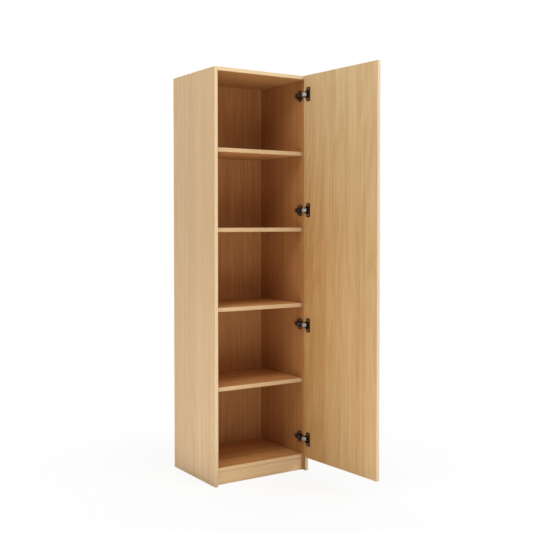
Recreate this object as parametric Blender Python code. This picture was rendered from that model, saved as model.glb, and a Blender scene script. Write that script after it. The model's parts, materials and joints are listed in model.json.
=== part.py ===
# Tall bookcase cabinet of melamine-faced board: two sides, a top, a bottom and a plinth, a back in a
# rebate, four shelves on pins, and one full-height door on four concealed cup hinges.
# Metres, +Z up, +X to the right along the front, +Y to the back. The origin is the middle of the
# plinth's underside. The door is modelled shut and then swung open on its hinge links.

import math

import bmesh
import bpy
from mathutils import Matrix, Vector

# Carcass
WIDTH = 0.500
DEPTH = 0.400
HEIGHT = 1.850
SIDE_T = 0.016
TOP_T = 0.016
SHELF_T = 0.018
BOTTOM_T = 0.018
BACK_T = 0.008
PLINTH_T = 0.016
BOTTOM_TOP = 0.075
SETBACK = 0.025
PLINTH_SETBACK = 0.001
REBATE = 0.008
EDGE_EASE = 0.0006

# Clearances
SEAT = 0.0003
SHELF_END_GAP = 0.001
RUNNING = 0.00008

# Shelves on pins
SHELF_COUNT = 4
TOP_SHELF = 1.500
SHELF_PITCH = 0.355
PIN_HOLE_R = 0.0025
PIN_HOLE_DEPTH = 0.010
PIN_HOLE_PITCH = 0.040
PIN_SHANK = 0.009
PIN_COLLAR_R = 0.0042
PIN_COLLAR_T = 0.0014
PIN_PEG_R = 0.0032
PIN_PEG_LENGTH = 0.009
PIN_FROM_FRONT = 0.054
PIN_FROM_BACK = 0.056

# Dowels in the corner joints
DOWEL_R = 0.004
DOWEL_LENGTH = 0.030
DOWEL_IN_SIDE = 0.010
DOWEL_FROM_END = 0.060
DOWEL_HOLE_SPARE = 0.001

# Door
DOOR_T = 0.016
DOOR_BOTTOM = 0.068
DOOR_REVEAL = 0.002
DOOR_GAP = 0.003
DOOR_OPEN = math.radians(93.7)
KNOB_R = 0.014
KNOB_NECK_R = 0.0065
KNOB_FOOT_R = 0.009
KNOB_REACH = 0.023
KNOB_NECK = 0.008
KNOB_HEAD = 0.0115
KNOB_CROWN = (-60.0, 70.0)
KNOB_FROM_EDGE = 0.045
KNOB_HEIGHT = 0.965

# Concealed hinges
HINGE_FROM_END = 0.088
HINGE_OFF_SHELF = 0.0812
CUP_FROM_EDGE = 0.026
CUP_BORE_R = 0.0175
CUP_BORE_DEPTH = 0.0120
CUP_DEPTH = 0.0112
CUP_WALL = 0.0010
FLANGE_T = 0.0012
FLANGE_NEAR = 0.0045
FLANGE_FAR = 0.0470
FLANGE_HALF = 0.0325
FLANGE_NOSE_HALF = 0.0100
FLANGE_SHOULDER = 0.0195
FLANGE_SHOULDER_HALF = 0.0205
FLANGE_ROUND = 0.0065
LINK_PIN_R = 0.0015
LINK_HALF = 0.0075
LINK_CHEEK_T = 0.0016
LINK_WEB_T = 0.0012
LINK_WEB_FROM = 0.0025
LINK_WAIST = 0.001
LINK_WAIST_SHARES = (0.30, 0.62)
LINK_EYE_R = 0.0028
LINK_CUP_EYE_R = 0.0025
LINK_RATIO = -0.505
CUP_PIN_FROM_EDGE = 0.0155
CUP_PIN_DEPTH = 0.0015
LUG_T = 0.0024
LUG_R = 0.0027
ARM_PIVOT_OFF_SIDE = 0.0230
ARM_PIVOT_PAST_FRONT = 0.0024
ARM_NOSE_R = 0.0021
ARM_SHEET = 0.0012
ARM_TAIL_HALF = 0.0074
ARM_TAPER_FROM = 0.056
ARM_TAPER_TO = 0.064
ARM_REAR = 0.074
ARM_REAR_HEIGHT = 0.0125
ARM_FRONT = 0.014
ARM_FRONT_HEIGHT = 0.0215
ARM_FOOT = 0.0028
PLATE_T = 0.0022
PLATE_LINE = 0.043
PLATE_SCREW_HALF = 0.016
PLATE_LOBE_R = 0.010
PLATE_LOBE_SPREAD = 0.004
PLATE_TAIL_HALF = 0.0062
PLATE_TAIL = 0.071
PLATE_TIP = 0.016
RAIL_FROM = 0.018

# Facets of round forms
PIN_FACETS = 16
HOLE_FACETS = 10
CUP_FACETS = 32
KNOB_FACETS = 28
ROUND_STEPS = 5

# Planes that the pieces share
RIGHT = WIDTH / 2
INNER = RIGHT - SIDE_T
FRONT = -(SETBACK + PLINTH_SETBACK + PLINTH_T / 2)
REAR = FRONT + DEPTH
BACK_FACE = REAR - BACK_T
SHELF_FRONT = FRONT + SETBACK
TOP_UNDER = HEIGHT - TOP_T
BOTTOM_UNDER = BOTTOM_TOP - BOTTOM_T
DOOR_FACE = FRONT - DOOR_GAP
DOOR_EDGE = RIGHT - DOOR_REVEAL
DOOR_WIDTH = WIDTH - 2 * DOOR_REVEAL
SHELF_TOPS = [TOP_SHELF - SHELF_PITCH * i for i in range(SHELF_COUNT)]
UPPER_MIDDLE_SHELF = SHELF_TOPS[SHELF_COUNT // 2 - 1]
LOWER_MIDDLE_SHELF = SHELF_TOPS[SHELF_COUNT // 2]
HINGE_LEVELS = [
    HEIGHT - HINGE_FROM_END, UPPER_MIDDLE_SHELF + HINGE_OFF_SHELF,
    LOWER_MIDDLE_SHELF - SHELF_T - HINGE_OFF_SHELF, DOOR_BOTTOM + HINGE_FROM_END,
]

# Hinge pivots seen from above, with the door shut
ARM_PIVOT = Vector((INNER - ARM_PIVOT_OFF_SIDE, FRONT - ARM_PIVOT_PAST_FRONT, 0.0))
CUP_PIN_SHUT = Vector((DOOR_EDGE - CUP_PIN_FROM_EDGE, DOOR_FACE - CUP_PIN_DEPTH, 0.0))
LINK_SHUT = CUP_PIN_SHUT - ARM_PIVOT
LINK_LENGTH = LINK_SHUT.length
LINK_ANGLE = math.atan2(LINK_SHUT.y, LINK_SHUT.x)
LINK_TURN = LINK_RATIO * DOOR_OPEN
CUP_PIN_OPEN = ARM_PIVOT + Matrix.Rotation(LINK_TURN, 3, "Z") @ LINK_SHUT
ARM_INSIDE_HALF = LINK_HALF + SEAT
ARM_HALF = ARM_INSIDE_HALF + ARM_SHEET

OAK = (0.62, 0.42, 0.23)
OAK_EDGE = (0.72, 0.52, 0.31)
BACK_OAK = (0.50, 0.32, 0.16)
BRONZE = (0.035, 0.025, 0.02)
BRIGHT = (0.62, 0.60, 0.57)
BEECH = (0.66, 0.50, 0.30)

for old in list(bpy.data.objects):
    bpy.data.objects.remove(old)


def material(name, colour, roughness, metallic):
    mat = bpy.data.materials.new(name)
    mat.use_nodes = True
    shader = mat.node_tree.nodes["Principled BSDF"]
    shader.inputs["Base Color"].default_value = (*colour, 1.0)
    shader.inputs["Roughness"].default_value = roughness
    shader.inputs["Metallic"].default_value = metallic
    return mat


def piece(name, mesh, colour, roughness=0.5, metallic=0.0, smooth=False):
    data = bpy.data.meshes.new(name)
    bmesh.ops.recalc_face_normals(mesh, faces=mesh.faces[:])
    mesh.to_mesh(data)
    mesh.free()
    if smooth:
        data.shade_smooth()
        data.set_sharp_from_angle(angle=math.radians(35))
    data.materials.append(material(name, colour, roughness, metallic))
    thing = bpy.data.objects.new(name, data)
    bpy.context.collection.objects.link(thing)
    return thing


def box(low, high, ease=0.0):
    mesh = bmesh.new()
    low = Vector(low)
    high = Vector(high)
    size = Matrix.Diagonal((*(high - low), 1.0))
    bmesh.ops.create_cube(mesh, size=1.0, matrix=Matrix.Translation((low + high) / 2) @ size)
    if ease > 0.0:
        bmesh.ops.bevel(mesh, geom=mesh.edges[:], offset=ease, segments=1, affect="EDGES")
    return mesh


def prism(outline, low, high, axis="Z"):
    """Extrude an outline along an axis. The outline's pairs are XY for Z, YZ for X and XZ for Y."""
    place = {
        "Z": lambda a, b, c: (a, b, c),
        "X": lambda a, b, c: (c, a, b),
        "Y": lambda a, b, c: (a, c, b),
    }[axis]
    mesh = bmesh.new()
    near = [mesh.verts.new(place(a, b, low)) for a, b in outline]
    far = [mesh.verts.new(place(a, b, high)) for a, b in outline]
    mesh.faces.new(near)
    mesh.faces.new(far)
    for i in range(len(outline)):
        j = (i + 1) % len(outline)
        mesh.faces.new((near[i], near[j], far[j], far[i]))
    return mesh


def arc(centre, radius, start, end, steps):
    """Points on an arc from start to end, in degrees, both ends included."""
    points = []
    for i in range(steps + 1):
        turn = math.radians(start + (end - start) * i / steps)
        points.append((centre[0] + radius * math.cos(turn), centre[1] + radius * math.sin(turn)))
    return points


def circle(centre, radius, facets):
    return arc(centre, radius, 0.0, 360.0 * (facets - 1) / facets, facets - 1)


def turned(profile, facets, matrix):
    """Spin a (radius, height) profile that starts and ends on its axis into a closed form."""
    mesh = bmesh.new()
    rings = []
    for radius, height in profile:
        if radius == 0.0:
            rings.append([mesh.verts.new(matrix @ Vector((0.0, 0.0, height)))])
            continue
        ring = circle((0.0, 0.0), radius, facets)
        rings.append([mesh.verts.new(matrix @ Vector((a, b, height))) for a, b in ring])
    for lower, upper in zip(rings, rings[1:]):
        for i in range(facets):
            j = (i + 1) % facets
            if len(lower) == 1:
                mesh.faces.new((lower[0], upper[j], upper[i]))
            elif len(upper) == 1:
                mesh.faces.new((lower[i], lower[j], upper[0]))
            else:
                mesh.faces.new((lower[i], lower[j], upper[j], upper[i]))
    return mesh


def combine(target, tools, operation):
    """Join or cut the target with each tool mesh in turn, and keep the result as plain geometry."""
    for tool in tools:
        helper = piece("helper", tool, OAK)
        change = target.modifiers.new("change", "BOOLEAN")
        change.operation = operation
        change.solver = "EXACT"
        change.object = helper
        graph = bpy.context.evaluated_depsgraph_get()
        result = bpy.data.meshes.new_from_object(target.evaluated_get(graph))
        target.modifiers.remove(change)
        old = target.data
        name = old.name
        target.data = result
        bpy.data.meshes.remove(old)
        result.name = name
        bpy.data.objects.remove(helper)
    return target


def pivot_at(thing, point):
    """Move a piece's origin to a point without moving the piece."""
    thing.data.transform(Matrix.Translation(-point))
    thing.location = point


def swing_door(thing):
    """Carry a piece of the shut door to its place on the open one, with its origin on the cup pins."""
    thing.data.transform(Matrix.Translation(-CUP_PIN_SHUT))
    thing.location = CUP_PIN_OPEN
    thing.rotation_euler.z = DOOR_OPEN
    return thing


def peg(centre, radius, facets, low, high, axis):
    return prism(circle(centre, radius, facets), low, high, axis)


# Holes along X, each as (y, z), that the sides share with what is pinned or dowelled to them

PIN_LINES = (FRONT + PIN_FROM_FRONT, BACK_FACE - PIN_FROM_BACK)
PIN_LEVELS = [top - SHELF_T - SEAT - PIN_PEG_R for top in SHELF_TOPS]
PIN_HOLES = [
    (line, level + row * PIN_HOLE_PITCH)
    for line in PIN_LINES
    for level in PIN_LEVELS
    for row in (-1, 0, 1)
]
TOP_DOWELS = [(y, HEIGHT - TOP_T / 2) for y in (FRONT + DOWEL_FROM_END, BACK_FACE - DOWEL_FROM_END)]
BOTTOM_DOWELS = [
    (y, BOTTOM_TOP - BOTTOM_T / 2)
    for y in (SHELF_FRONT + DOWEL_FROM_END, BACK_FACE - DOWEL_FROM_END)
]
PLINTH_DOWELS = [(0.0, BOTTOM_UNDER / 2)]
DOWELS = {"top": TOP_DOWELS, "bottom": BOTTOM_DOWELS, "plinth": PLINTH_DOWELS}
DOWEL_HOLE_R = DOWEL_R + SEAT


def side_panel(name, side):
    """A full-height side, with its rebate for the back, pin holes and dowel holes on the inner face."""
    inner = side * INNER
    outer = side * RIGHT
    low = (min(inner, outer), FRONT, 0.0)
    high = (max(inner, outer), REAR, HEIGHT)
    panel = piece(name, box(low, high, EDGE_EASE), OAK)
    rebate_x = inner + side * REBATE
    spare = inner - side * REBATE
    cuts = [box((min(rebate_x, spare), BACK_FACE - SEAT, -REBATE),
                (max(rebate_x, spare), REAR + REBATE, HEIGHT + REBATE))]
    for y, z in PIN_HOLES:
        ends = sorted((inner - side * PIN_HOLE_DEPTH, inner + side * PIN_HOLE_DEPTH))
        cuts.append(peg((y, z), PIN_HOLE_R, HOLE_FACETS, *ends, "X"))
    for y, z in TOP_DOWELS + BOTTOM_DOWELS + PLINTH_DOWELS:
        depth = DOWEL_IN_SIDE + DOWEL_HOLE_SPARE
        ends = sorted((inner - side * depth, inner + side * depth))
        cuts.append(peg((y, z), DOWEL_HOLE_R, HOLE_FACETS, *ends, "X"))
    return combine(panel, [joined(cuts[1:]), cuts[0]], "DIFFERENCE")


def joined(meshes):
    """Put several separate closed forms into one mesh."""
    whole = bmesh.new()
    for mesh in meshes:
        data = bpy.data.meshes.new("form")
        bmesh.ops.recalc_face_normals(mesh, faces=mesh.faces[:])
        mesh.to_mesh(data)
        mesh.free()
        whole.from_mesh(data)
        bpy.data.meshes.remove(data)
    return whole


def end_holes(dowels):
    """Dowel holes in both ends of a board that lies between the sides."""
    reach = DOWEL_LENGTH - DOWEL_IN_SIDE + DOWEL_HOLE_SPARE
    cuts = []
    for y, z in dowels:
        for side in (-1, 1):
            ends = sorted((side * (INNER - reach), side * (INNER + reach)))
            cuts.append(peg((y, z), DOWEL_HOLE_R, HOLE_FACETS, *ends, "X"))
    return joined(cuts)


def cross_board(name, y, z, dowels, colour=OAK):
    """A board dowelled between the sides, from its (front, back) and (under, top) planes."""
    end = INNER - SEAT
    board = piece(name, box((-end, y[0], z[0]), (end, y[1], z[1]), EDGE_EASE), colour)
    return combine(board, [end_holes(dowels)], "DIFFERENCE")


def carcass():
    side_panel("left_side_panel", -1)
    side_panel("right_side_panel", 1)
    top = cross_board("top_panel", (FRONT, REAR), (TOP_UNDER, HEIGHT), TOP_DOWELS)
    rebate = box((-RIGHT, BACK_FACE - SEAT, TOP_UNDER - REBATE),
                 (RIGHT, REAR + REBATE, TOP_UNDER + REBATE))
    combine(top, [rebate], "DIFFERENCE")
    cross_board("bottom_panel", (SHELF_FRONT, BACK_FACE - SEAT), (BOTTOM_UNDER, BOTTOM_TOP), BOTTOM_DOWELS)
    plinth_front = SHELF_FRONT + PLINTH_SETBACK
    cross_board("plinth", (plinth_front, plinth_front + PLINTH_T), (0.0, BOTTOM_UNDER - SEAT), PLINTH_DOWELS)
    edge = INNER + REBATE - SEAT
    piece("back_panel", box((-edge, BACK_FACE, BOTTOM_UNDER), (edge, REAR, TOP_UNDER + REBATE - SEAT)),
          BACK_OAK)
    for group, places in DOWELS.items():
        for number, (y, z) in enumerate(places, start=1):
            for word, side in (("left", -1), ("right", 1)):
                start = side * (INNER + DOWEL_IN_SIDE)
                ends = sorted((start, start - side * DOWEL_LENGTH))
                piece(f"{group}_dowel_{word}_{number}", peg((y, z), DOWEL_R, HOLE_FACETS, *ends, "X"),
                      BEECH, smooth=True)


def shelf_pin(name, side, y, z):
    """A turned pin: a shank in the side, a collar against it and a peg under the shelf."""
    shank_r = PIN_HOLE_R - 2 * RUNNING
    profile = [
        (0.0, -PIN_SHANK), (shank_r, -PIN_SHANK), (shank_r, SEAT), (PIN_COLLAR_R, SEAT),
        (PIN_COLLAR_R, SEAT + PIN_COLLAR_T), (PIN_PEG_R, SEAT + PIN_COLLAR_T),
        (PIN_PEG_R, PIN_PEG_LENGTH), (0.0, PIN_PEG_LENGTH),
    ]
    turn = Matrix.Rotation(-side * math.pi / 2, 4, "Y")
    place = Matrix.Translation((side * INNER, y, z)) @ turn
    return piece(name, turned(profile, HOLE_FACETS, place), BRIGHT, 0.35, 1.0, smooth=True)


def shelves():
    end = INNER - SHELF_END_GAP
    for number, (top, level) in enumerate(zip(SHELF_TOPS, PIN_LEVELS), start=1):
        low = (-end, SHELF_FRONT, top - SHELF_T)
        high = (end, BACK_FACE - SEAT, top)
        shelf = piece(f"shelf_{number}", box(low, high, EDGE_EASE), OAK)
        notches = []
        for word, side in (("left", -1), ("right", 1)):
            for place, y in zip(("front", "back"), PIN_LINES):
                shelf_pin(f"shelf_{number}_pin_{word}_{place}", side, y, level)
                reach = sorted((side * (end - PIN_COLLAR_T), side * (end + PIN_COLLAR_T)))
                notches.append(peg((y, level), PIN_COLLAR_R + SEAT, HOLE_FACETS, *reach, "X"))
        combine(shelf, [joined(notches)], "DIFFERENCE")


def along_door(e, p):
    """Plan position on the shut door, e in from its hinge edge and p into it from its inner face."""
    return (DOOR_EDGE - e, DOOR_FACE - p)


def flange_outline():
    """The cup's flange, with round screw wings and a nose that narrows towards the door's edge."""
    half = FLANGE_HALF - FLANGE_ROUND
    near = FLANGE_SHOULDER + FLANGE_ROUND
    far = FLANGE_FAR - FLANGE_ROUND
    points = [(FLANGE_NEAR, -FLANGE_NOSE_HALF), (FLANGE_SHOULDER, -FLANGE_SHOULDER_HALF)]
    corners = ((near, -half, 180.0), (far, -half, 270.0), (far, half, 0.0), (near, half, 90.0))
    for e, z, start in corners:
        points += arc((e, z), FLANGE_ROUND, start, start + 90.0, ROUND_STEPS)
    points += [(FLANGE_SHOULDER, FLANGE_SHOULDER_HALF), (FLANGE_NEAR, FLANGE_NOSE_HALF)]
    return points


def hinge_cup(name, level):
    """A pressed cup with its flange, a notch for the link and a cross pin between two lugs."""
    flange_face = DOOR_FACE + SEAT + FLANGE_T
    outer_r = CUP_BORE_R - SEAT
    cavity_r = outer_r - CUP_WALL
    centre = (DOOR_EDGE - CUP_FROM_EDGE, level)
    outline = [(DOOR_EDGE - e, level + z) for e, z in flange_outline()]
    cup = piece(name, prism(outline, DOOR_FACE + SEAT, flange_face, "Y"), BRONZE, 0.4, 0.8)
    barrel = peg(centre, outer_r, CUP_FACETS, DOOR_FACE - CUP_DEPTH, flange_face, "Y")
    combine(cup, [barrel], "UNION")
    floor = DOOR_FACE - CUP_DEPTH + CUP_WALL
    cavity = peg(centre, cavity_r, CUP_FACETS, floor, flange_face + CUP_DEPTH, "Y")
    slot_half = LINK_HALF + 2 * SEAT
    notch_low = (DOOR_EDGE - CUP_PIN_FROM_EDGE, DOOR_FACE - 2 * CUP_PIN_DEPTH, level - slot_half)
    notch_high = (DOOR_EDGE, flange_face + CUP_DEPTH, level + slot_half)
    combine(cup, [cavity, box(notch_low, notch_high)], "DIFFERENCE")
    pin = along_door(CUP_PIN_FROM_EDGE, CUP_PIN_DEPTH)
    lug = arc(pin, LUG_R, 0.0, 180.0, ROUND_STEPS)
    lug += [(pin[0] - LUG_R, floor), (pin[0] + LUG_R, floor)]
    parts = []
    for side in (-1, 1):
        ends = sorted((level + side * slot_half, level + side * (slot_half + LUG_T)))
        parts.append(prism(lug, *ends))
    reach = slot_half + LUG_T / 2
    parts.append(peg(pin, LINK_PIN_R, PIN_FACETS, level - reach, level + reach, "Z"))
    combine(cup, parts, "UNION")
    return swing_door(cup)


def link_frame():
    """Plan matrix of the shut link: along it from the arm's pin, and out to its web side."""
    return Matrix.Translation(ARM_PIVOT) @ Matrix.Rotation(LINK_ANGLE, 4, "Z")


def in_plan(frame, points):
    places = [frame @ Vector((s, -t, 0.0)) for s, t in points]
    return [(place.x, place.y) for place in places]


def hinge_link(name, level):
    """A bright U-shaped link: two cheeks with an eye at each end, tied by a web on the room side."""
    frame = link_frame()
    inner_web = LINK_EYE_R + SEAT
    outer_web = inner_web + LINK_WEB_T
    length = LINK_LENGTH
    profile = arc((0.0, 0.0), LINK_EYE_R, 100.0, 290.0, 2 * ROUND_STEPS)
    profile += [(length * share, LINK_WAIST) for share in LINK_WAIST_SHARES]
    profile += arc((length, 0.0), LINK_CUP_EYE_R, 240.0, 360.0, ROUND_STEPS + 2)
    profile += [(length + LINK_CUP_EYE_R, LINK_CUP_EYE_R), (length, outer_web), (LINK_WEB_FROM, outer_web)]
    link = piece(name, prism(in_plan(frame, profile), level - LINK_HALF, level + LINK_HALF), BRIGHT, 0.3, 1.0)
    gap_half = LINK_HALF - LINK_CHEEK_T
    spare = 2 * outer_web
    between = [
        (-spare, -spare), (length + spare, -spare), (length + spare, inner_web),
        (LINK_WEB_FROM, inner_web), (LINK_WEB_FROM, spare), (-spare, spare),
    ]
    slot = prism(in_plan(frame, between), level - gap_half, level + gap_half)
    eyes = []
    for s in (0.0, length):
        centre = in_plan(frame, [(s, 0.0)])[0]
        bore = (LINK_PIN_R + RUNNING) / math.cos(math.pi / PIN_FACETS)
        eyes.append(peg(centre, bore, PIN_FACETS, level - 2 * LINK_HALF, level + 2 * LINK_HALF, "Z"))
    combine(link, [slot] + eyes, "DIFFERENCE")
    pivot_at(link, ARM_PIVOT)
    link.rotation_euler.z = LINK_TURN
    return link


def off_side(height, back):
    """Plan position of a hinge point, height off the right side's face and back from its front edge."""
    return (INNER - height, FRONT + back)


def arm_top(back):
    """Height of the arm's outer face above the side, falling from its front to its rear."""
    share = (back - ARM_FRONT) / (ARM_REAR - ARM_FRONT)
    return ARM_FRONT_HEIGHT + (ARM_REAR_HEIGHT - ARM_FRONT_HEIGHT) * share


def hinge_arm(name, level):
    """A channel-shaped arm over the plate's rail. Its two cheeks reach out to hold the link's pin."""
    nose = (ARM_PIVOT.x, ARM_PIVOT.y)
    body = arc(nose, ARM_NOSE_R, 170.0, 350.0, 2 * ROUND_STEPS)
    body += [
        off_side(arm_top(ARM_FRONT) / 2, ARM_FRONT), off_side(ARM_FOOT, ARM_FRONT + ARM_FOOT),
        off_side(ARM_FOOT, ARM_REAR - ARM_FOOT), off_side(2 * ARM_FOOT, ARM_REAR),
        off_side(arm_top(ARM_REAR), ARM_REAR), off_side(arm_top(ARM_FRONT), ARM_FRONT),
    ]
    arm = piece(name, prism(body, level - ARM_HALF, level + ARM_HALF), BRONZE, 0.4, 0.8)
    past = ARM_REAR + ARM_FOOT
    ahead = -2 * ARM_FRONT
    above = 2 * ARM_FRONT_HEIGHT
    channel = [
        off_side(-ARM_FOOT, ahead), off_side(-ARM_FOOT, ARM_TAPER_FROM),
        off_side(arm_top(ARM_TAPER_FROM) - ARM_SHEET, ARM_TAPER_FROM),
        off_side(arm_top(ARM_FRONT) - ARM_SHEET, ARM_FRONT),
        off_side(above, ARM_FRONT), off_side(above, ahead),
    ]
    inward = ARM_TAPER_FROM - ARM_FOOT
    tail = [
        off_side(-2 * ARM_FOOT, inward), off_side(-2 * ARM_FOOT, past),
        off_side(arm_top(past) - ARM_SHEET - SEAT, past),
        off_side(arm_top(inward) - ARM_SHEET - SEAT, inward),
    ]
    tail_inside = ARM_TAIL_HALF - ARM_SHEET
    cuts = [
        prism(channel, level - ARM_INSIDE_HALF, level + ARM_INSIDE_HALF),
        prism(tail, level - tail_inside, level + tail_inside),
    ]
    for side in (-1, 1):
        taper = [
            (FRONT + ARM_TAPER_FROM, level + side * ARM_HALF),
            (FRONT + ARM_TAPER_TO, level + side * ARM_TAIL_HALF), (FRONT + past, level + side * ARM_TAIL_HALF),
            (FRONT + past, level + side * 2 * ARM_HALF), (FRONT + ARM_TAPER_FROM, level + side * 2 * ARM_HALF),
        ]
        cuts.append(prism(taper, INNER - above, INNER, "X"))
    combine(arm, cuts, "DIFFERENCE")
    reach = ARM_HALF - ARM_SHEET / 2
    return combine(arm, [peg(nose, LINK_PIN_R, PIN_FACETS, level - reach, level + reach, "Z")], "UNION")


def hinge_plate(name, level):
    """A cross-shaped mounting plate: two wide screw lobes, a tail and the rail that carries the arm."""
    ahead = FRONT + PLATE_LINE - PLATE_LOBE_SPREAD
    behind = FRONT + PLATE_LINE + PLATE_LOBE_SPREAD
    outline = []
    for y, side, start in ((behind, 1, 0.0), (ahead, 1, 90.0), (ahead, -1, 180.0), (behind, -1, 270.0)):
        if start == 180.0:
            outline += [(FRONT + PLATE_TIP, level + s * PLATE_TAIL_HALF) for s in (1, -1)]
        outline += arc((y, level + side * PLATE_SCREW_HALF), PLATE_LOBE_R, start, start + 90.0, ROUND_STEPS)
    outline += [(FRONT + PLATE_TAIL, level + s * PLATE_TAIL_HALF) for s in (-1, 1)]
    near = INNER - SEAT
    plate = piece(name, prism(outline, near - PLATE_T, near, "X"), BRONZE, 0.4, 0.8)
    rail_half = ARM_INSIDE_HALF - SEAT
    rail_to = ARM_TAPER_FROM - SEAT
    under = ARM_SHEET + SEAT
    rail = [
        off_side(PLATE_T / 2, RAIL_FROM), off_side(PLATE_T / 2, rail_to),
        off_side(arm_top(rail_to) - under, rail_to), off_side(arm_top(RAIL_FROM) - under, RAIL_FROM),
    ]
    return combine(plate, [prism(rail, level - rail_half, level + rail_half)], "UNION")


def door():
    low = (DOOR_EDGE - DOOR_WIDTH, DOOR_FACE - DOOR_T, DOOR_BOTTOM)
    high = (DOOR_EDGE, DOOR_FACE, HEIGHT)
    panel = piece("door_panel", box(low, high, EDGE_EASE), OAK)
    bores = []
    for level in HINGE_LEVELS:
        centre = (DOOR_EDGE - CUP_FROM_EDGE, level)
        bores.append(peg(centre, CUP_BORE_R, CUP_FACETS, DOOR_FACE - CUP_BORE_DEPTH,
                         DOOR_FACE + CUP_BORE_DEPTH, "Y"))
    combine(panel, [joined(bores)], "DIFFERENCE")
    swing_door(panel)
    profile = [(0.0, 0.0), (KNOB_FOOT_R, 0.0), (KNOB_NECK_R, KNOB_NECK)]
    half = KNOB_HEAD / 2
    for radius, rise in arc((0.0, 0.0), 1.0, *KNOB_CROWN, ROUND_STEPS):
        profile.append((KNOB_R * radius, KNOB_REACH - half + half * rise))
    profile.append((0.0, KNOB_REACH))
    foot = (DOOR_EDGE - DOOR_WIDTH + KNOB_FROM_EDGE, DOOR_FACE - DOOR_T - SEAT, KNOB_HEIGHT)
    place = Matrix.Translation(foot) @ Matrix.Rotation(math.pi / 2, 4, "X")
    knob = turned(profile, KNOB_FACETS, place)
    swing_door(piece("knob", knob, BRONZE, 0.35, 0.8, smooth=True))


def hinges():
    for number, level in enumerate(HINGE_LEVELS, start=1):
        hinge_plate(f"hinge_{number}_plate", level)
        hinge_arm(f"hinge_{number}_arm", level)
        hinge_link(f"hinge_{number}_link", level)
        hinge_cup(f"hinge_{number}_cup", level)


carcass()
shelves()
door()
hinges()
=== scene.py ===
# %% [markdown]
# # A tall bookcase cabinet with its door open
# The cabinet is made of melamine-faced board: a printed wood grain under a hard satin film. The solids
# of every piece come ready made and in place, so this lesson gives them their finishes, softens the
# metal fittings, adds the screws, and sets up the light and the camera.

# %% Load the cabinet
import json
import math

import bmesh
import bpy
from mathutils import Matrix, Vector


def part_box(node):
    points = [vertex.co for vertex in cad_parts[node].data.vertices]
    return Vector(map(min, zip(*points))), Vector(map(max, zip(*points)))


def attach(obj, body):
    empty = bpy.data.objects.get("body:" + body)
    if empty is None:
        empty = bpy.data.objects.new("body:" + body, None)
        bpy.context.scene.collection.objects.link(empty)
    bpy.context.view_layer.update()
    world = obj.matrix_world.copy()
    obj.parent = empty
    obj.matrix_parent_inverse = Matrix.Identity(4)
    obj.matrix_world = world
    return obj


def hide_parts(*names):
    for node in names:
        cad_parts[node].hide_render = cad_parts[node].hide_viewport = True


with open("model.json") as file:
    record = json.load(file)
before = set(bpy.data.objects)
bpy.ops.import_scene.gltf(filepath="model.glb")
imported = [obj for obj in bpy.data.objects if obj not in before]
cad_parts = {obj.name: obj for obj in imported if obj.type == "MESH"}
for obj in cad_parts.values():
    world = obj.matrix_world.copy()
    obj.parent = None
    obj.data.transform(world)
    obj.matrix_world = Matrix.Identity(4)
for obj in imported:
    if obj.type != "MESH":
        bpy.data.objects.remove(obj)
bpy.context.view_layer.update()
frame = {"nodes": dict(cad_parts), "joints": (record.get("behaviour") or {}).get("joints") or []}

nodes = frame["nodes"]

# %% [markdown]
# ## Where things are
# Everything is in metres. X runs to the right along the front, Y to the back and Z up. The boards' own
# boxes give the planes that the finishes need: the front edges, the shelves' front edges and the back.
# The door stands open, so its box doesn't give its width, which is named here. It runs along a slanted
# line, and a small function turns a place on the door (so far in from the hinge edge, so far into the
# board) into a place in the room, starting from the hinges' pin in the door.

# %% Planes and the door's own directions
HINGES = (1, 2, 3, 4)
SHELVES = (1, 2, 3, 4)
side_low, side_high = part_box("right_side_panel")
door_low, door_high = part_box("door_panel")
FRONT, REAR, TOP = side_low.y, side_high.y, side_high.z
INNER, OUTER = side_low.x, side_high.x
SHELF_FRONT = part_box("shelf_1")[0].y
DOOR_LOW, DOOR_TOP = door_low.z, door_high.z
DOOR_WIDTH, DOOR_DEEP = 0.496, 0.016
DOOR_TURN = math.radians(93.7)
joint_places = {joint["name"]: Vector(joint["pos_m"]) for joint in frame["joints"]}
DOOR_PIN = joint_places["door_swing"]
PIN_IN, PIN_DEEP = 0.0155, 0.0015
ALONG_DOOR = Vector((-math.cos(DOOR_TURN), -math.sin(DOOR_TURN), 0.0))
OUT_OF_DOOR = Vector((-math.sin(DOOR_TURN), math.cos(DOOR_TURN), 0.0))


def on_door(inward, deep, z):
    """A place on the open door: inward from its hinge edge, deep into its inner face, at height z."""
    place = DOOR_PIN + ALONG_DOOR * (inward - PIN_IN) - OUT_OF_DOOR * (deep - PIN_DEEP)
    return Vector((place.x, place.y, z))


HINGE_LEVELS = []
for number in HINGES:
    low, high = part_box(f"hinge_{number}_plate")
    HINGE_LEVELS.append((low.z + high.z) / 2)
print("hinge heights:", [round(z, 4) for z in HINGE_LEVELS])
print("door corner:", [round(v, 4) for v in on_door(DOOR_WIDTH, 0.0, DOOR_TOP)])

# %% [markdown]
# ## Helpers for node trees
# Shader and geometry trees are long to write out by hand. The first helpers add one node, set its
# options, and fill its inputs: a plain value is typed in, and a socket of another node is linked. The
# others are short names for the nodes that are used most: sums, a change of range, a mix of two colours
# and the distance of a place along a direction. The last one starts a node group.

# %% Add one node
def plug(tree, value, socket):
    if isinstance(value, bpy.types.NodeSocket):
        tree.links.new(value, socket)
    else:
        socket.default_value = value


def add(tree, kind, inputs=None, **options):
    made = tree.nodes.new(kind)
    for key, value in options.items():
        setattr(made, key, value)
    for key, value in (inputs or {}).items():
        plug(tree, value, made.inputs[key])
    return made


def maths(tree, operation, *values):
    return add(tree, "ShaderNodeMath", dict(enumerate(values)), operation=operation).outputs[0]


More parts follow.
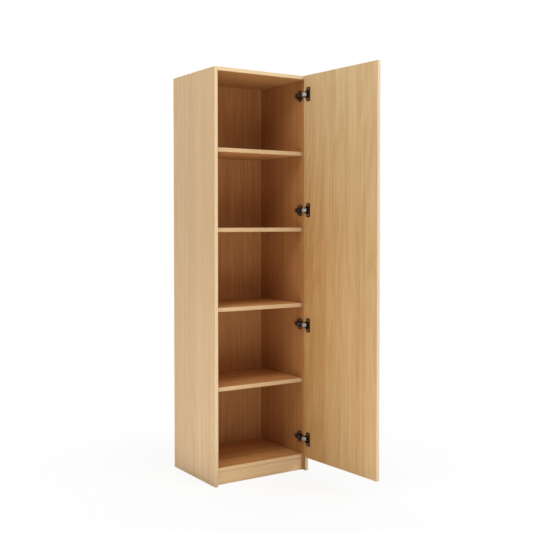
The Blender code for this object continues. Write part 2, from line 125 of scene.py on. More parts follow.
def remap(tree, value, low, high, first, last, how="LINEAR"):
    inputs = {"Value": value, "From Min": low, "From Max": high, "To Min": first, "To Max": last}
    return add(tree, "ShaderNodeMapRange", inputs, interpolation_type=how).outputs[0]


MIX_SHARE, MIX_FIRST, MIX_SECOND, MIX_RESULT = 0, 6, 7, 2


def blend(tree, share, first, second, how="MIX"):
    inputs = {MIX_SHARE: share, MIX_FIRST: first, MIX_SECOND: second}
    return add(tree, "ShaderNodeMix", inputs, data_type="RGBA", blend_type=how).outputs[MIX_RESULT]


def how_far(tree, place, direction):
    inputs = {0: place, 1: direction}
    return add(tree, "ShaderNodeVectorMath", inputs, operation="DOT_PRODUCT").outputs["Value"]


def new_group(name, kind, sockets):
    tree = bpy.data.node_groups.new(name, kind)
    for label, direction, socket in sockets:
        tree.interface.new_socket(name=label, in_out=direction, socket_type=socket)
    return tree, tree.nodes.new("NodeGroupInput"), tree.nodes.new("NodeGroupOutput")


print("node helpers ready")

# %% [markdown]
# ## The printed grain
# The film shows plain-sliced beech: long soft bands, finer streaks that run the length of the board,
# shorter flecks, hair-thin fibres, a few arched lines where the slice ran through the growth rings, and
# short dark pores. A picture of veneer would repeat and blur close up, so each of these is noise that is
# squeezed across the board and stretched along it. The arches are contour lines of one very long noise:
# a sine of it draws a line wherever it passes the same value, and only in some patches. Another noise
# leans the colour a little to rose in some streaks and to straw in others. One group holds it all, with
# the grain along its Z, and each board turns its own coordinates to suit.

# %% Sizes of the grain
# Each layer: noise cells per metre across the board and along it, the noise's detail and distortion.
GRAIN_LAYERS = {
    "broad": (7.0, 0.35, 1.0, 0.0),
    "bands": (19.0, 0.28, 2.0, 0.0),
    "streaks": (75.0, 0.28, 3.0, 0.0),
    "flecks": (88.0, 3.6, 4.0, 0.0),
    "fibres": (620.0, 9.0, 2.0, 0.0),
    "pores": (1500.0, 42.0, 1.0, 0.0),
    "rings": (6.5, 0.75, 1.5, 0.25),
    "patches": (4.0, 0.5, 1.0, 0.0),
    "hues": (36.0, 1.0, 2.0, 0.0),
}
GRAIN_WEIGHTS = {"broad": 0.5, "bands": 0.7, "streaks": 1.35, "flecks": 1.1, "fibres": 1.0}
NOISE_MIDDLE = 0.5
PATCH_RANGE, HUE_RANGE = (0.46, 0.60), (0.34, 0.66)
PORE_RANGE, FIBRE_RANGE = (0.62, 0.72), (0.3, 0.7)
RING_LINES, RING_STRENGTH = 95.0, 0.15
PORE_STRENGTH, PORE_DEPTH = 0.30, -1.5
SATIN_LOW, SATIN_HIGH = 0.40, 0.54
ROSY, STRAW = (1.008, 0.985, 0.98, 1.0), (0.992, 1.015, 1.02, 1.0)
print("grain layers:", list(GRAIN_LAYERS))


# %% Grain group
def stretched_noise(tree, place, across, along, detail, distortion):
    squeeze = add(tree, "ShaderNodeMapping", {"Vector": place, "Scale": (across, across, along)})
    inputs = {"Vector": squeeze.outputs[0], "Scale": 1.0, "Detail": detail, "Distortion": distortion}
    return add(tree, "ShaderNodeTexNoise", inputs).outputs[0]


def make_grain():
    tree, given, result = new_group("board_grain", "ShaderNodeTree", [
        ("Place", "INPUT", "NodeSocketVector"),
        ("Pale", "INPUT", "NodeSocketColor"),
        ("Warm", "INPUT", "NodeSocketColor"),
        ("Pore", "INPUT", "NodeSocketColor"),
        ("Colour", "OUTPUT", "NodeSocketColor"),
        ("Roughness", "OUTPUT", "NodeSocketFloat"),
        ("Height", "OUTPUT", "NodeSocketFloat"),
    ])
    place = given.outputs["Place"]
    layer = {name: stretched_noise(tree, place, *sizes) for name, sizes in GRAIN_LAYERS.items()}
    share = NOISE_MIDDLE
    for name, weight in GRAIN_WEIGHTS.items():
        swing = maths(tree, "SUBTRACT", layer[name], NOISE_MIDDLE)
        share = maths(tree, "MULTIPLY_ADD", swing, weight, share)
    arches = maths(tree, "SINE", maths(tree, "MULTIPLY", layer["rings"], RING_LINES))
    where = remap(tree, layer["patches"], *PATCH_RANGE, 0.0, RING_STRENGTH)
    share = maths(tree, "MULTIPLY_ADD", arches, where, share)
    clear = add(tree, "ShaderNodeClamp", {0: share}).outputs[0]
    hue = remap(tree, layer["hues"], *HUE_RANGE, 0.0, 1.0)
    ticks = remap(tree, layer["pores"], *PORE_RANGE, 0.0, PORE_STRENGTH)
    face = blend(tree, clear, given.outputs["Pale"], given.outputs["Warm"])
    face = blend(tree, 1.0, face, blend(tree, hue, ROSY, STRAW), "MULTIPLY")
    satin = remap(tree, layer["fibres"], *FIBRE_RANGE, SATIN_LOW, SATIN_HIGH)
    relief = maths(tree, "MULTIPLY_ADD", ticks, PORE_DEPTH, layer["fibres"])
    plug(tree, blend(tree, ticks, face, given.outputs["Pore"]), result.inputs["Colour"])
    plug(tree, satin, result.inputs["Roughness"])
    plug(tree, relief, result.inputs["Height"])
    return tree


grain = make_grain()
print("grain group nodes:", len(grain.nodes))

# %% [markdown]
# ## The edges
# A sawn board shows its core: pressed chips, pale and dark. Wherever an edge can be seen, the maker glues
# a strip of plastic banding over it, a little paler than the faces and with straight fine lines. Banding
# is under a millimetre thick, so it is not modelled as a strip: the board's material switches to it
# close to the edge's plane. The unseen back edges and the drilled holes keep their bare chips; in the
# holes the chips are darkened to under a tenth, which is painted shade down in a hole.

# %% Edge groups
CHIP_CELLS, CHIP_CLOUDS = 520.0, 160.0
CHIP_DARK, CHIP_PALE = (0.15, 0.085, 0.04, 1.0), (0.52, 0.37, 0.22, 1.0)
HALF = 0.5


def make_chips():
    tree, given, result = new_group("bare_chips", "ShaderNodeTree", [
        ("Place", "INPUT", "NodeSocketVector"),
        ("Colour", "OUTPUT", "NodeSocketColor"),
    ])
    place = given.outputs["Place"]
    cells = add(tree, "ShaderNodeTexVoronoi", {"Vector": place, "Scale": CHIP_CELLS})
    tone = add(tree, "ShaderNodeSeparateColor", {0: cells.outputs["Color"]}).outputs[0]
    cloud = add(tree, "ShaderNodeTexNoise", {"Vector": place, "Scale": CHIP_CLOUDS, "Detail": 3.0})
    tone = maths(tree, "MULTIPLY_ADD", cloud.outputs[0], HALF, maths(tree, "MULTIPLY", tone, HALF))
    plug(tree, blend(tree, tone, CHIP_DARK, CHIP_PALE), result.inputs["Colour"])
    return tree


def make_edge_finder():
    tree, given, result = new_group("near_plane", "ShaderNodeTree", [
        ("Place", "INPUT", "NodeSocketVector"),
        ("Facing", "INPUT", "NodeSocketVector"),
        ("Reach", "INPUT", "NodeSocketFloat"),
        ("Mask", "OUTPUT", "NodeSocketFloat"),
    ])
    far = how_far(tree, given.outputs["Place"], given.outputs["Facing"])
    plug(tree, maths(tree, "GREATER_THAN", far, given.outputs["Reach"]), result.inputs["Mask"])
    return tree


chips = make_chips()
near_plane = make_edge_finder()
BANDING = 0.0008
FILM_SKIN = 0.4 * BANDING
# Width of a painted shadow line where the bottom board meets the plinth.
SHADOW_GAP_WIDTH = 1.5 * BANDING
# Darkening for hole walls: painted shade down in the drilled holes.
HOLE_SHADE = (0.08, 0.07, 0.06, 1.0)
# Colour of that painted shadow line.
SHADOW_GAP_LINE = (0.16, 0.085, 0.035, 1.0)
print("banding thickness in mm:", BANDING * 1000)

# %% [markdown]
# ## A board's finish
# A maker presses one film on each face and bands the edges, so a board has several finishes. They could
# go on picked faces, but then the faces of every board would have to be picked, so one material finds
# them by itself: the face grain first, then the darker inner tones, banding or bare chips near the named
# planes. The inner tones are darker, warmer copies of the face film, which is painted shade inside the
# cabinet.
# Each plane is an outward direction and how far the plane lies along it. The door's film also grows
# darker and warmer towards the foot of its hinge edge, which is painted shade and painted warm light
# thrown back from the cabinet's inside: one smooth fade runs across the door and one up it. The bottom
# board has a thin dark line at the foot of its front edge, where it meets the plinth, which is a painted
# shadow in the gap. The faint relief of the film comes from the same fibres that colour it, so the light
# catches them along the grain.

# %% Films
def film(pale, warm, pore):
    return {"Pale": (*pale, 1.0), "Warm": (*warm, 1.0), "Pore": (*pore, 1.0)}


OUTSIDE = film((0.694, 0.490, 0.278), (0.587, 0.379, 0.189), (0.335, 0.186, 0.079))
# The plinth's tones are a brighter copy of the outside film. This is painted light on the plinth and on the
# bottom board's front edge.
PLINTH_LIT_FILM = film((0.780, 0.555, 0.312), (0.659, 0.430, 0.212), (0.376, 0.211, 0.089))
# The door's tones are a slightly darker, warmer copy of the outside film, and the next set is darker and
# warmer still: painted shade and painted warm bounce light from the cabinet's inside.
DOOR_SHADE_FILM = film((0.661, 0.480, 0.256), (0.532, 0.333, 0.148), (0.315, 0.173, 0.063))
DOOR_BOUNCE_SHADE = film((0.561, 0.330, 0.123), (0.446, 0.228, 0.070), (0.259, 0.126, 0.039))
# The inside, side and under-top tones are darker, warmer copies of the one film. They go on the shelves, the
# bottom, the back's inner face, the sides' inner faces and the top's underside as painted shade inside the
# cabinet.
INSIDE_SHADE_FILM = film((0.627, 0.321, 0.117), (0.469, 0.210, 0.065), (0.244, 0.106, 0.030))
SIDE_SHADE_FILM = film((0.502, 0.238, 0.083), (0.375, 0.156, 0.047), (0.193, 0.078, 0.023))
UNDER_TOP_SHADE_FILM = film((0.521, 0.276, 0.105), (0.447, 0.222, 0.067), (0.237, 0.107, 0.036))
BAND = film((0.662, 0.490, 0.288), (0.596, 0.440, 0.255), (0.519, 0.373, 0.211))
# The shelves' banding is a darker, warmer copy of the banding: painted shade on the shelf edges inside the
# cabinet.
SHELF_BAND_SHADE = film((0.605, 0.419, 0.227), (0.538, 0.358, 0.191), (0.482, 0.313, 0.163))
FILM_SHINE, FILM_RELIEF, FIBRE_HEIGHT = 0.35, 0.12, 0.0003
print("outside film, pale tone:", OUTSIDE["Pale"][:3])


# %% Board materials
def plane(outward, point):
    outward = Vector(outward).normalized()
    return outward, outward.dot(Vector(point))


def board_finish(name, along, face, banded=(), bare=(), inner=(), inner_shade=INSIDE_SHADE_FILM, band=BAND,
                 drilled=(), bounce_shade=None, joint=None):
    mat = bpy.data.materials.new(name)
    mat.use_nodes = True
    tree = mat.node_tree
    shader = tree.nodes["Principled BSDF"]
    place = add(tree, "ShaderNodeTexCoord").outputs["Object"]
    split = add(tree, "ShaderNodeSeparateXYZ", {0: place})
    order = {"z": (0, 1, 2), "x": (1, 2, 0)}[along]
    turned = add(tree, "ShaderNodeCombineXYZ", {i: split.outputs[axis] for i, axis in enumerate(order)})

    def printed(tones):
        return add(tree, "ShaderNodeGroup", {"Place": turned.outputs[0], **tones}, node_tree=grain)

    def beyond(outward, reach):
        inputs = {"Place": place, "Facing": outward, "Reach": reach}
        return add(tree, "ShaderNodeGroup", inputs, node_tree=near_plane).outputs[0]

    outer = printed(face)
    core = add(tree, "ShaderNodeGroup", {0: place}, node_tree=chips).outputs[0]
    colour = outer.outputs["Colour"]
    # Painted shade and warm bounce light on the door: its darker tones fade in towards the hinge edge and
    # below a set height.
    if bounce_shade:
        tones, fades = bounce_shade
        shade_share = 1.0
        for (outward, reach), far, least in fades:
            away = how_far(tree, place, outward)
            fade = remap(tree, away, reach - far, reach, least, 1.0, "SMOOTHSTEP")
            shade_share = maths(tree, "MULTIPLY", fade, shade_share)
        colour = blend(tree, shade_share, colour, printed(tones).outputs["Colour"])
    # Inner faces take the darker inner tones, which are painted shade. Banded edges take the banding.
    for planes, tones in ((inner, inner_shade), (banded, band)):
        tint = printed(tones).outputs["Colour"] if planes else None
        for outward, reach in planes:
            colour = blend(tree, beyond(outward, reach - BANDING), colour, tint)
    # A painted shadow line in the gap where the bottom board meets the plinth.
    if joint:
        (facing, front), (down, foot) = banded[0], joint
        line = maths(tree, "MULTIPLY", beyond(facing, front - BANDING), beyond(down, foot - SHADOW_GAP_WIDTH))
        colour = blend(tree, line, colour, SHADOW_GAP_LINE)
    for outward, reach in bare:
        colour = blend(tree, beyond(outward, reach - BANDING), colour, core)
    if drilled:
        skin = 0.0
        for outward, reach in drilled:
            skin = maths(tree, "MAXIMUM", skin, beyond(outward, reach - FILM_SKIN))
        # Hole walls: the bare chips darkened as painted shade down in the holes.
        shaded_hole = blend(tree, 1.0, core, HOLE_SHADE, "MULTIPLY")
        colour = blend(tree, skin, shaded_hole, colour)
    relief = {"Height": outer.outputs["Height"], "Strength": FILM_RELIEF, "Distance": FIBRE_HEIGHT}
    plug(tree, colour, shader.inputs["Base Color"])
    plug(tree, outer.outputs["Roughness"], shader.inputs["Roughness"])
    plug(tree, FILM_SHINE, shader.inputs["Specular IOR Level"])
    plug(tree, add(tree, "ShaderNodeBump", relief).outputs[0], shader.inputs["Normal"])
    return mat


print("grain runs up the sides, door and back, and along the other boards")

# %% [markdown]
# The sides have a darker, warmer copy of the film on the inner face, which is painted shade inside the
# cabinet, banding in front and on top, and bare chips behind and below. The shelves and the bottom have
# the darker inside copy on every face, also painted shade. For a drilled board, all six of its outer
# planes are named: what lies inside all of them is the wall of a hole or of a rebate.

# %% The boards' own finishes
FACES_FRONT = plane((0, -1, 0), (0, FRONT, 0))
FACES_REAR = plane((0, 1, 0), (0, REAR, 0))
FACES_UP = plane((0, 0, 1), (0, 0, TOP))
FACES_DOWN = plane((0, 0, -1), (0, 0, 0))
SHELF_EDGE = plane((0, -1, 0), (0, SHELF_FRONT, 0))
TOP_UNDERSIDE = plane((0, 0, -1), (0, 0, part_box("top_panel")[0].z))
BOTTOM_UNDERSIDE = plane((0, 0, -1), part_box("bottom_panel")[0])
BACK_INSIDE = plane((0, -1, 0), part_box("back_panel")[0])
side_finishes = {}
for word, side in (("left", -1), ("right", 1)):
    lined = plane((-side, 0, 0), (side * INNER, 0, 0))
    outward = plane((side, 0, 0), (side * OUTER, 0, 0))
    side_finishes[word] = board_finish(
        f"{word}_board", "z", OUTSIDE, [FACES_FRONT, FACES_UP], [FACES_REAR, FACES_DOWN], [lined],
        SIDE_SHADE_FILM, drilled=[FACES_FRONT, FACES_UP, FACES_REAR, FACES_DOWN, lined, outward])
top_finish = board_finish("top_board", "x", OUTSIDE, [FACES_FRONT], [FACES_REAR],
                          [TOP_UNDERSIDE], UNDER_TOP_SHADE_FILM)
shelf_finish = board_finish("shelf_board", "x", INSIDE_SHADE_FILM, [SHELF_EDGE], band=SHELF_BAND_SHADE)
bottom_finish = board_finish("bottom_board", "x", INSIDE_SHADE_FILM, [SHELF_EDGE], band=PLINTH_LIT_FILM,
                             joint=BOTTOM_UNDERSIDE)
plinth_finish = board_finish("plinth_board", "x", PLINTH_LIT_FILM)
back_finish = board_finish("back_board", "z", OUTSIDE, inner=[BACK_INSIDE])
print("side, top, shelf, bottom, plinth and back finishes made")

# %% The door's finish
HINGE_EDGE = plane(-ALONG_DOOR, on_door(0, 0, 0))
DOOR_EDGES = [
    plane(ALONG_DOOR, on_door(DOOR_WIDTH, 0, 0)), HINGE_EDGE,
    plane((0, 0, 1), (0, 0, DOOR_TOP)), plane((0, 0, -1), (0, 0, DOOR_LOW)),
]
DOOR_FACES = [plane(OUT_OF_DOOR, on_door(0, 0, 0)), plane(-OUT_OF_DOOR, on_door(0, DOOR_DEEP, 0))]
# Below this height the door's painted shade is full.
SHADE_BELOW = plane((0, 0, -1), (0, 0, 1.0))
# Each fade: the plane where the painted shade is full, how far it reaches, and what is left beyond that.
SHADE_FADES = [(HINGE_EDGE, 0.38, 0.45), (SHADE_BELOW, 0.78, 0.0)]
door_finish = board_finish("door_board", "z", DOOR_SHADE_FILM, DOOR_EDGES, drilled=DOOR_EDGES + DOOR_FACES,
                           bounce_shade=(DOOR_BOUNCE_SHADE, SHADE_FADES))
print("door finish nodes:", len(door_finish.node_tree.nodes))

# %% [markdown]
# The finishes now go on the boards that are already there. Their shapes are right, so nothing is
# rebuilt: only the material in each slot changes.

# %% Put the finishes on the boards
def finish_node(name, mat):
    data = nodes[name].data
    data.materials.clear()
    data.materials.append(mat)


BOARDS = {
    "left_side_panel": side_finishes["left"], "right_side_panel": side_finishes["right"],
    "top_panel": top_finish, "bottom_panel": bottom_finish, "plinth": plinth_finish,
    "back_panel": back_finish, "door_panel": door_finish,
}
for number in SHELVES:
    BOARDS[f"shelf_{number}"] = shelf_finish
for name, mat in BOARDS.items():
    finish_node(name, mat)
print("boards finished:", len(BOARDS))

# %% [markdown]
# ## Metal, plating and dowels
# The hinges are pressed steel with a dark bronze plating, and their links are bright nickel. The screws
# are zinc plated and the shelf pins are plain steel. Plating is never one even tone: handling and the
# press leave faint clouds in its colour and gloss. One even colour would look like plastic, so a small
# group makes the clouds, and each metal sets its own two tones. The beech dowels, which sit hidden in the
# corner joints, use the same clouds with wood tones and no metal.

# %% Metal finishes
PLATING_CLOUDS, DOWEL_CLOUDS, FINE_CLOUDS = 180.0, 400.0, 2600.0
CLOUD_RANGE, ROUGH_SPREAD = (0.3, 0.7), 0.12
PLATING_RELIEF, PLATING_HEIGHT = 0.06, 0.0002


def make_clouds():
    tree, given, result = new_group("plating_clouds", "ShaderNodeTree", [
        ("Scale", "INPUT", "NodeSocketFloat"),
        ("Cloud", "OUTPUT", "NodeSocketFloat"),
        ("Fine", "OUTPUT", "NodeSocketFloat"),
    ])
    place = add(tree, "ShaderNodeTexCoord").outputs["Object"]
    cloud = add(tree, "ShaderNodeTexNoise", {"Vector": place, "Scale": given.outputs[0], "Detail": 4.0})
    fine = add(tree, "ShaderNodeTexNoise", {"Vector": place, "Scale": FINE_CLOUDS, "Detail": 2.0})
    plug(tree, cloud.outputs[0], result.inputs["Cloud"])
    plug(tree, fine.outputs[0], result.inputs["Fine"])
    return tree


clouds = make_clouds()


def clouded_finish(name, dark, light, rough, metallic, scale=PLATING_CLOUDS):
    mat = bpy.data.materials.new(name)
    mat.use_nodes = True
    tree = mat.node_tree
    shader = tree.nodes["Principled BSDF"]
    wear = add(tree, "ShaderNodeGroup", {"Scale": scale}, node_tree=clouds)
    fine = wear.outputs["Fine"]
    tone = blend(tree, wear.outputs["Cloud"], (*dark, 1.0), (*light, 1.0))
    relief = {"Height": fine, "Strength": PLATING_RELIEF, "Distance": PLATING_HEIGHT}
    plug(tree, tone, shader.inputs["Base Color"])
    satin = remap(tree, fine, *CLOUD_RANGE, rough, rough + ROUGH_SPREAD)
    plug(tree, satin, shader.inputs["Roughness"])
    plug(tree, metallic, shader.inputs["Metallic"])
    plug(tree, add(tree, "ShaderNodeBump", relief).outputs[0], shader.inputs["Normal"])
    return mat


bronze = clouded_finish("dark_bronze", (0.040, 0.024, 0.015), (0.090, 0.057, 0.038), 0.36, 0.75)
nickel = clouded_finish("bright_nickel", (0.27, 0.235, 0.21), (0.42, 0.375, 0.34), 0.48, 0.7)
zinc = clouded_finish("screw_zinc", (0.19, 0.175, 0.16), (0.33, 0.305, 0.28), 0.36, 0.9)
pin_steel = clouded_finish("pin_steel", (0.42, 0.36, 0.30), (0.58, 0.50, 0.42), 0.30, 1.0)
beech = clouded_finish("dowel_beech", (0.52, 0.36, 0.20), (0.70, 0.53, 0.33), 0.55, 0.0, DOWEL_CLOUDS)
for name in nodes:
    if "dowel" in name:
        finish_node(name, beech)
print("clouded finishes:", [mat.name for mat in (bronze, nickel, zinc, pin_steel, beech)])

# %% [markdown]
# ## Softened fittings
# A stamping has no knife edges: the press rounds them. The fittings could be drawn again with rounded
# edges, but a copy of the solid keeps its true sizes. Each hinge piece, each shelf pin and the knob is
# copied, its loose triangles are merged and the flat ones dissolved, and a Bevel modifier rounds what is
# left, except on the knob, which is round already. The copy then stands for the solid.

# %% Copy, merge and bevel
MERGE_WITHIN = 0.000002
FLAT, BEVELLED, SHARP = math.radians(0.5), math.radians(40), math.radians(38)
BEVEL_STEPS = 2


def put_in_scene(name, data):
    thing = bpy.data.objects.new(name, data)
    bpy.context.scene.collection.objects.link(thing)
    return thing


def settle(thing):
    """Give an object the mesh that its modifiers make, and take them off."""
    graph = bpy.context.evaluated_depsgraph_get()
    settled = bpy.data.meshes.new_from_object(thing.evaluated_get(graph))
    thing.modifiers.clear()
    thing.data = settled


def soften(name, body, mat, width):
    mesh = bmesh.new()
    mesh.from_mesh(nodes[name].data)
    bmesh.ops.remove_doubles(mesh, verts=mesh.verts[:], dist=MERGE_WITHIN)
    bmesh.ops.dissolve_limit(mesh, angle_limit=FLAT, verts=mesh.verts[:], edges=mesh.edges[:])
    data = bpy.data.meshes.new(f"{name}_soft")
    mesh.to_mesh(data)
    mesh.free()
    copy = put_in_scene(f"{name}_soft", data)
    if width > 0.0:
        rounding = copy.modifiers.new("rounding", "BEVEL")
        rounding.width = width
        rounding.segments = BEVEL_STEPS
        rounding.limit_method = "ANGLE"
        rounding.angle_limit = BEVELLED
        rounding.use_clamp_overlap = True
        settle(copy)
    copy.data.shade_smooth()
    copy.data.set_sharp_from_angle(angle=SHARP)
    copy.data.materials.clear()
    copy.data.materials.append(mat)
    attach(copy, body)
    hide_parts(name)
    return copy


PRESSED, CUP_ROUND, PIN_ROUND, LINK_ROUND, UNROUNDED = 0.0004, 0.0003, 0.0003, 0.0002, 0.0
softened = []
for number in HINGES:
    softened.append(soften(f"hinge_{number}_plate", "carcass", bronze, PRESSED))
    softened.append(soften(f"hinge_{number}_arm", "carcass", bronze, PRESSED))
    softened.append(soften(f"hinge_{number}_link", "hinge_links", nickel, LINK_ROUND))
    softened.append(soften(f"hinge_{number}_cup", "door", bronze, CUP_ROUND))
for name in sorted(nodes):
    if "_pin_" in name:
        softened.append(soften(name, "carcass", pin_steel, PIN_ROUND))
softened.append(soften("knob", "door", bronze, UNROUNDED))
print("softened pieces:", len(softened), "faces:", sum(len(copy.data.polygons) for copy in softened))

# %% [markdown]
# ## Screws
# Screws repeat, so one Geometry Nodes tree makes them all. It builds a pan head with a cross recess from
# its sizes, sets one on every point of a small mesh, faces it along the point's own direction and gives
# it a random turn from a fixed seed, because no fitter lines up the slots.

# %% The screw tree
HEAD_SIDES, HEAD_STEPS, HEAD_TAPER = 24, 3, 0.72
RECESS_REACH, RECESS_DEPTH = 1.15, 1.1


def make_screw_tree():
    tree, given, result = new_group("cross_head_screws", "GeometryNodeTree", [
        ("Places", "INPUT", "NodeSocketGeometry"),
        ("Head Radius", "INPUT", "NodeSocketFloat"),
        ("Head Height", "INPUT", "NodeSocketFloat"),
        ("Recess Width", "INPUT", "NodeSocketFloat"),
        ("Seed", "INPUT", "NodeSocketInt"),
        ("Finish", "INPUT", "NodeSocketMaterial"),
        ("Screws", "OUTPUT", "NodeSocketGeometry"),
    ])
    radius, height = given.outputs["Head Radius"], given.outputs["Head Height"]
    width = given.outputs["Recess Width"]
    head = add(tree, "GeometryNodeMeshCone", {
        "Vertices": HEAD_SIDES, "Side Segments": HEAD_STEPS,
        "Radius Top": maths(tree, "MULTIPLY", radius, HEAD_TAPER), "Radius Bottom": radius, "Depth": height})
    reach = maths(tree, "MULTIPLY", radius, RECESS_REACH)
    depth = maths(tree, "MULTIPLY", height, RECESS_DEPTH)
    shape = head.outputs[0]
    for x, y in ((reach, width), (width, reach)):
        size = add(tree, "ShaderNodeCombineXYZ", {0: x, 1: y, 2: depth}).outputs[0]
        bar = add(tree, "GeometryNodeMeshCube", {"Size": size}).outputs[0]
        lift = add(tree, "ShaderNodeCombineXYZ", {2: height}).outputs[0]
        cut = add(tree, "GeometryNodeTransform", {"Geometry": bar, "Translation": lift}).outputs[0]
        cutter = add(tree, "GeometryNodeMeshBoolean", {0: shape, 1: cut}, operation="DIFFERENCE")
        shape = cutter.outputs[0]
    facing = add(tree, "GeometryNodeInputNamedAttribute", {"Name": "facing"}, data_type="FLOAT_VECTOR")
    aim = add(tree, "FunctionNodeAlignRotationToVector", {"Vector": facing.outputs[0]}, axis="Z")
    spin = add(tree, "FunctionNodeRandomValue", data_type="FLOAT")
    plug(tree, given.outputs["Seed"], spin.inputs["Seed"])
    angle = maths(tree, "MULTIPLY", spin.outputs[1], math.pi)
    about = add(tree, "FunctionNodeAxisAngleToRotation", {"Axis": (0.0, 0.0, 1.0), "Angle": angle})
    turns = {0: aim.outputs[0], 1: about.outputs[0]}
    turn = add(tree, "FunctionNodeRotateRotation", turns, rotation_space="LOCAL")
    spread = add(tree, "GeometryNodeInstanceOnPoints", {
        "Points": given.outputs["Places"], "Instance": shape, "Rotation": turn.outputs[0]})
    solid = add(tree, "GeometryNodeRealizeInstances", {0: spread.outputs[0]})
    finish = {0: solid.outputs[0], "Material": given.outputs["Finish"]}
    plug(tree, add(tree, "GeometryNodeSetMaterial", finish).outputs[0], result.inputs[0])
    return tree


screw_tree = make_screw_tree()
print("screw tree nodes:", len(screw_tree.nodes))

# %% [markdown]
# Every set of screws is one plain mesh on one body. The tree runs on a mesh of bare points, each with a
# direction, and the finished mesh is taken from the evaluated object, so that no modifier is left.

# %% Set the screws
def set_screws(name, body, places, head, mat, seed):
    data = bpy.data.meshes.new(name)
    data.from_pydata([place for place, facing in places], [], [])
    directions = data.attributes.new("facing", "FLOAT_VECTOR", "POINT")
    for item, (place, facing) in zip(directions.data, places):
        item.vector = facing
    carrier = put_in_scene(name, data)
    worker = carrier.modifiers.new("screws", "NODES")
    worker.node_group = screw_tree
    radius, height, recess = head
    values = {"Head Radius": radius, "Head Height": height, "Recess Width": recess,
              "Seed": seed, "Finish": mat}
    for item in screw_tree.interface.items_tree:
        if item.in_out == "INPUT" and item.name in values:
            worker[item.identifier] = values[item.name]
    settle(carrier)
    carrier.data.set_sharp_from_angle(angle=SHARP)
    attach(carrier, body)
    print(name, "heads:", len(places), "faces:", len(carrier.data.polygons))


# %% Where the hinges' screws sit
PLATE_FACE, PLATE_LINE, PLATE_STEP = INNER - 0.0025, FRONT + 0.043, 0.016
ARM_FALL, ARM_START, ARM_HIGH = 0.009 / 0.060, 0.014, 0.0215
ARM_SCREWS = (0.027, 0.066)
FLANGE_IN, FLANGE_FACE, FLANGE_STEP = 0.032, -0.0015, 0.0235
KNOB_IN, KNOB_LEVEL = 0.045, 0.965
OFF_PLATE = Vector((-1.0, 0.0, 0.0))
OFF_ARM = Vector((-1.0, ARM_FALL, 0.0)).normalized()
plate_places, arm_places, cup_places = [], [], []
for z in HINGE_LEVELS:
    for step in (-PLATE_STEP, PLATE_STEP):
        plate_places.append((Vector((PLATE_FACE, PLATE_LINE, z + step)), OFF_PLATE))
    for back in ARM_SCREWS:
        high = ARM_HIGH - (back - ARM_START) * ARM_FALL
        arm_places.append((Vector((INNER - high, FRONT + back, z)), OFF_ARM))
    for step in (-FLANGE_STEP, FLANGE_STEP):
        cup_places.append((on_door(FLANGE_IN, FLANGE_FACE, z + step), OUT_OF_DOOR))
knob_place = [(on_door(DOOR_WIDTH - KNOB_IN, 0.0, KNOB_LEVEL), OUT_OF_DOOR)]
# Each head: its radius, its height and the width of its recess.
PLATE_HEAD, ARM_HEAD = (0.0042, 0.0016, 0.0011), (0.0036, 0.0012, 0.0010)
CUP_HEAD, KNOB_HEAD = (0.0040, 0.0014, 0.0011), (0.0030, 0.0014, 0.0009)
set_screws("plate_screws", "carcass", plate_places, PLATE_HEAD, zinc, 3)
set_screws("arm_screws", "carcass", arm_places, ARM_HEAD, zinc, 8)
set_screws("cup_screws", "door", cup_places, CUP_HEAD, zinc, 5)
set_screws("knob_screw", "door", knob_place, KNOB_HEAD, zinc, 2)

# %% [markdown]
# ## Floor and surround
# A pale floor carries the soft shadow and fades to white away from the cabinet. For what the camera or a
# mirror sees, the surround is white at strength one, so that it shows as a white page. More light would
# also make the page white, but it would bleach the film, so the light's own rays meet a dimmer surround.

# %% Floor
FLOOR_RADIUS, FLOOR_SIDES, FLOOR_DROP = 14.0, 96, 0.0004
FADE_START, FADE_END, GLOW_NEAR = 0.35, 1.5, 0.86
WHITE, PAPER = (1.0, 1.0, 1.0, 1.0), (0.90, 0.90, 0.90, 1.0)


def seen_rays(tree):
    """One for rays that come from the camera, a mirror or glass, and zero for the light's own."""
    path = add(tree, "ShaderNodeLightPath")
    rays = maths(tree, "MAXIMUM", path.outputs["Is Camera Ray"], path.outputs["Is Glossy Ray"])
    return maths(tree, "MAXIMUM", rays, path.outputs["Is Transmission Ray"])


def make_floor():
    mesh = bmesh.new()
    bmesh.ops.create_circle(mesh, cap_ends=True, radius=FLOOR_RADIUS, segments=FLOOR_SIDES)
    data = bpy.data.meshes.new("floor")
    mesh.to_mesh(data)
    mesh.free()
    floor = put_in_scene("floor", data)
    floor.location.z = -FLOOR_DROP
    mat = bpy.data.materials.new("floor_paper")
    mat.use_nodes = True
    tree = mat.node_tree
    tree.nodes.clear()
    place = add(tree, "ShaderNodeTexCoord").outputs["Object"]
    away = add(tree, "ShaderNodeVectorMath", {0: place}, operation="LENGTH").outputs["Value"]
    fade = remap(tree, away, FADE_START, FADE_END, GLOW_NEAR, 1.0, "SMOOTHSTEP")
    share = maths(tree, "MULTIPLY", fade, seen_rays(tree))
    paper = add(tree, "ShaderNodeBsdfDiffuse", {"Color": PAPER}).outputs[0]
    glow = add(tree, "ShaderNodeEmission", {"Color": WHITE, "Strength": 1.0}).outputs[0]
    both = add(tree, "ShaderNodeMixShader", {0: share, 1: paper, 2: glow})
    add(tree, "ShaderNodeOutputMaterial", {0: both.outputs[0]})
    data.materials.append(mat)


make_floor()
print("floor radius:", FLOOR_RADIUS)

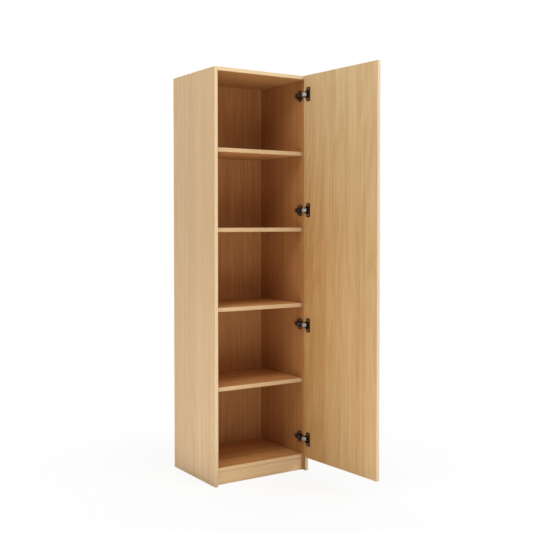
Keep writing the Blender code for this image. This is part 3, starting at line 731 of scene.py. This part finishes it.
# %% Surround
AMBIENT = 0.38
scene = bpy.context.scene
scene.view_settings.view_transform = "Standard"
world = bpy.data.worlds.new("surround")
scene.world = world
world.use_nodes = True
sky = world.node_tree
sky.nodes.clear()
level = remap(sky, seen_rays(sky), 0.0, 1.0, AMBIENT, 1.0)
page = add(sky, "ShaderNodeBackground", {0: WHITE, 1: level})
add(sky, "ShaderNodeOutputWorld", {0: page.outputs[0]})
print("surround level:", AMBIENT)

# %% [markdown]
# ## Lamps
# The light is plain: a soft lamp high on the left, three in front (high up, to the right, and steeply
# above) and one behind. The lamp on the right reaches the shelves' left ends past the open door, which
# shades their right ends, and the steep one lights the front strip of each shelf. Two flat lamps on the
# floor stand for the light that a bright studio floor throws back up, which is what brightens the top of
# each compartment. The powers are kept low enough that the closed door doesn't bleach to white.

# %% Lamps
def soft_lamp(name, place, target, size, power):
    lamp = bpy.data.lights.new(name, "AREA")
    lamp.shape = "DISK"
    lamp.size = size
    lamp.energy = power
    thing = put_in_scene(name, lamp)
    thing.location = place
    thing.visible_camera = False
    thing.rotation_euler = (Vector(target) - Vector(place)).to_track_quat("-Z", "Y").to_euler()
    return thing


# Each lamp: its place, what it is aimed at, its width in metres and its power in watts.
LAMPS = {
    "left_lamp": ((-1.9, -1.0, 3.1), (0.0, 0.0, 1.0), 1.4, 27.5),
    "front_lamp": ((1.3, -2.9, 4.4), (0.0, 0.0, 0.9), 2.6, 36.0),
    "right_lamp": ((2.6, -3.3, 2.2), (0.0, -0.2, 1.0), 1.6, 46.0),
    "top_lamp": ((0.1, -2.0, 6.5), (0.0, 0.0, 1.0), 2.0, 82.0),
    "back_lamp": ((0.6, 3.4, 2.6), (0.0, 0.3, 1.0), 2.0, 40.0),
}
BOUNCES = {
    "front_bounce": ((-1.2, -2.3, 0.004), (-1.2, -2.3, 1.0), 4.4, 67.0),
    "side_bounce": ((-1.05, 0.17, 0.004), (-1.05, 0.17, 1.0), 1.5, 3.0),
}
for name, settings in LAMPS.items():
    soft_lamp(name, *settings)
for name, settings in BOUNCES.items():
    soft_lamp(name, *settings).visible_glossy = False
print("lamps:", len(LAMPS) + len(BOUNCES))

# %% [markdown]
# ## Camera
# The camera stands to the left of the cabinet, about chest high and nearly level, as in a catalogue
# picture, so the upright edges stay upright. A small shift frames the tall cabinet.

# %% Camera
CAMERA_PLACE = (-2.0987, -3.3680, 1.1630)
CAMERA_DROP, CAMERA_TURN = 1.583, -33.464
eye = bpy.data.cameras.new("camera")
eye.sensor_width = 36.0
eye.lens = 58.699
eye.shift_x = -0.03
eye.shift_y = -0.035
camera = put_in_scene("camera", eye)
camera.location = CAMERA_PLACE
camera.rotation_euler = (math.radians(90.0 - CAMERA_DROP), 0.0, math.radians(CAMERA_TURN))
scene.camera = camera
print("camera lens:", eye.lens)
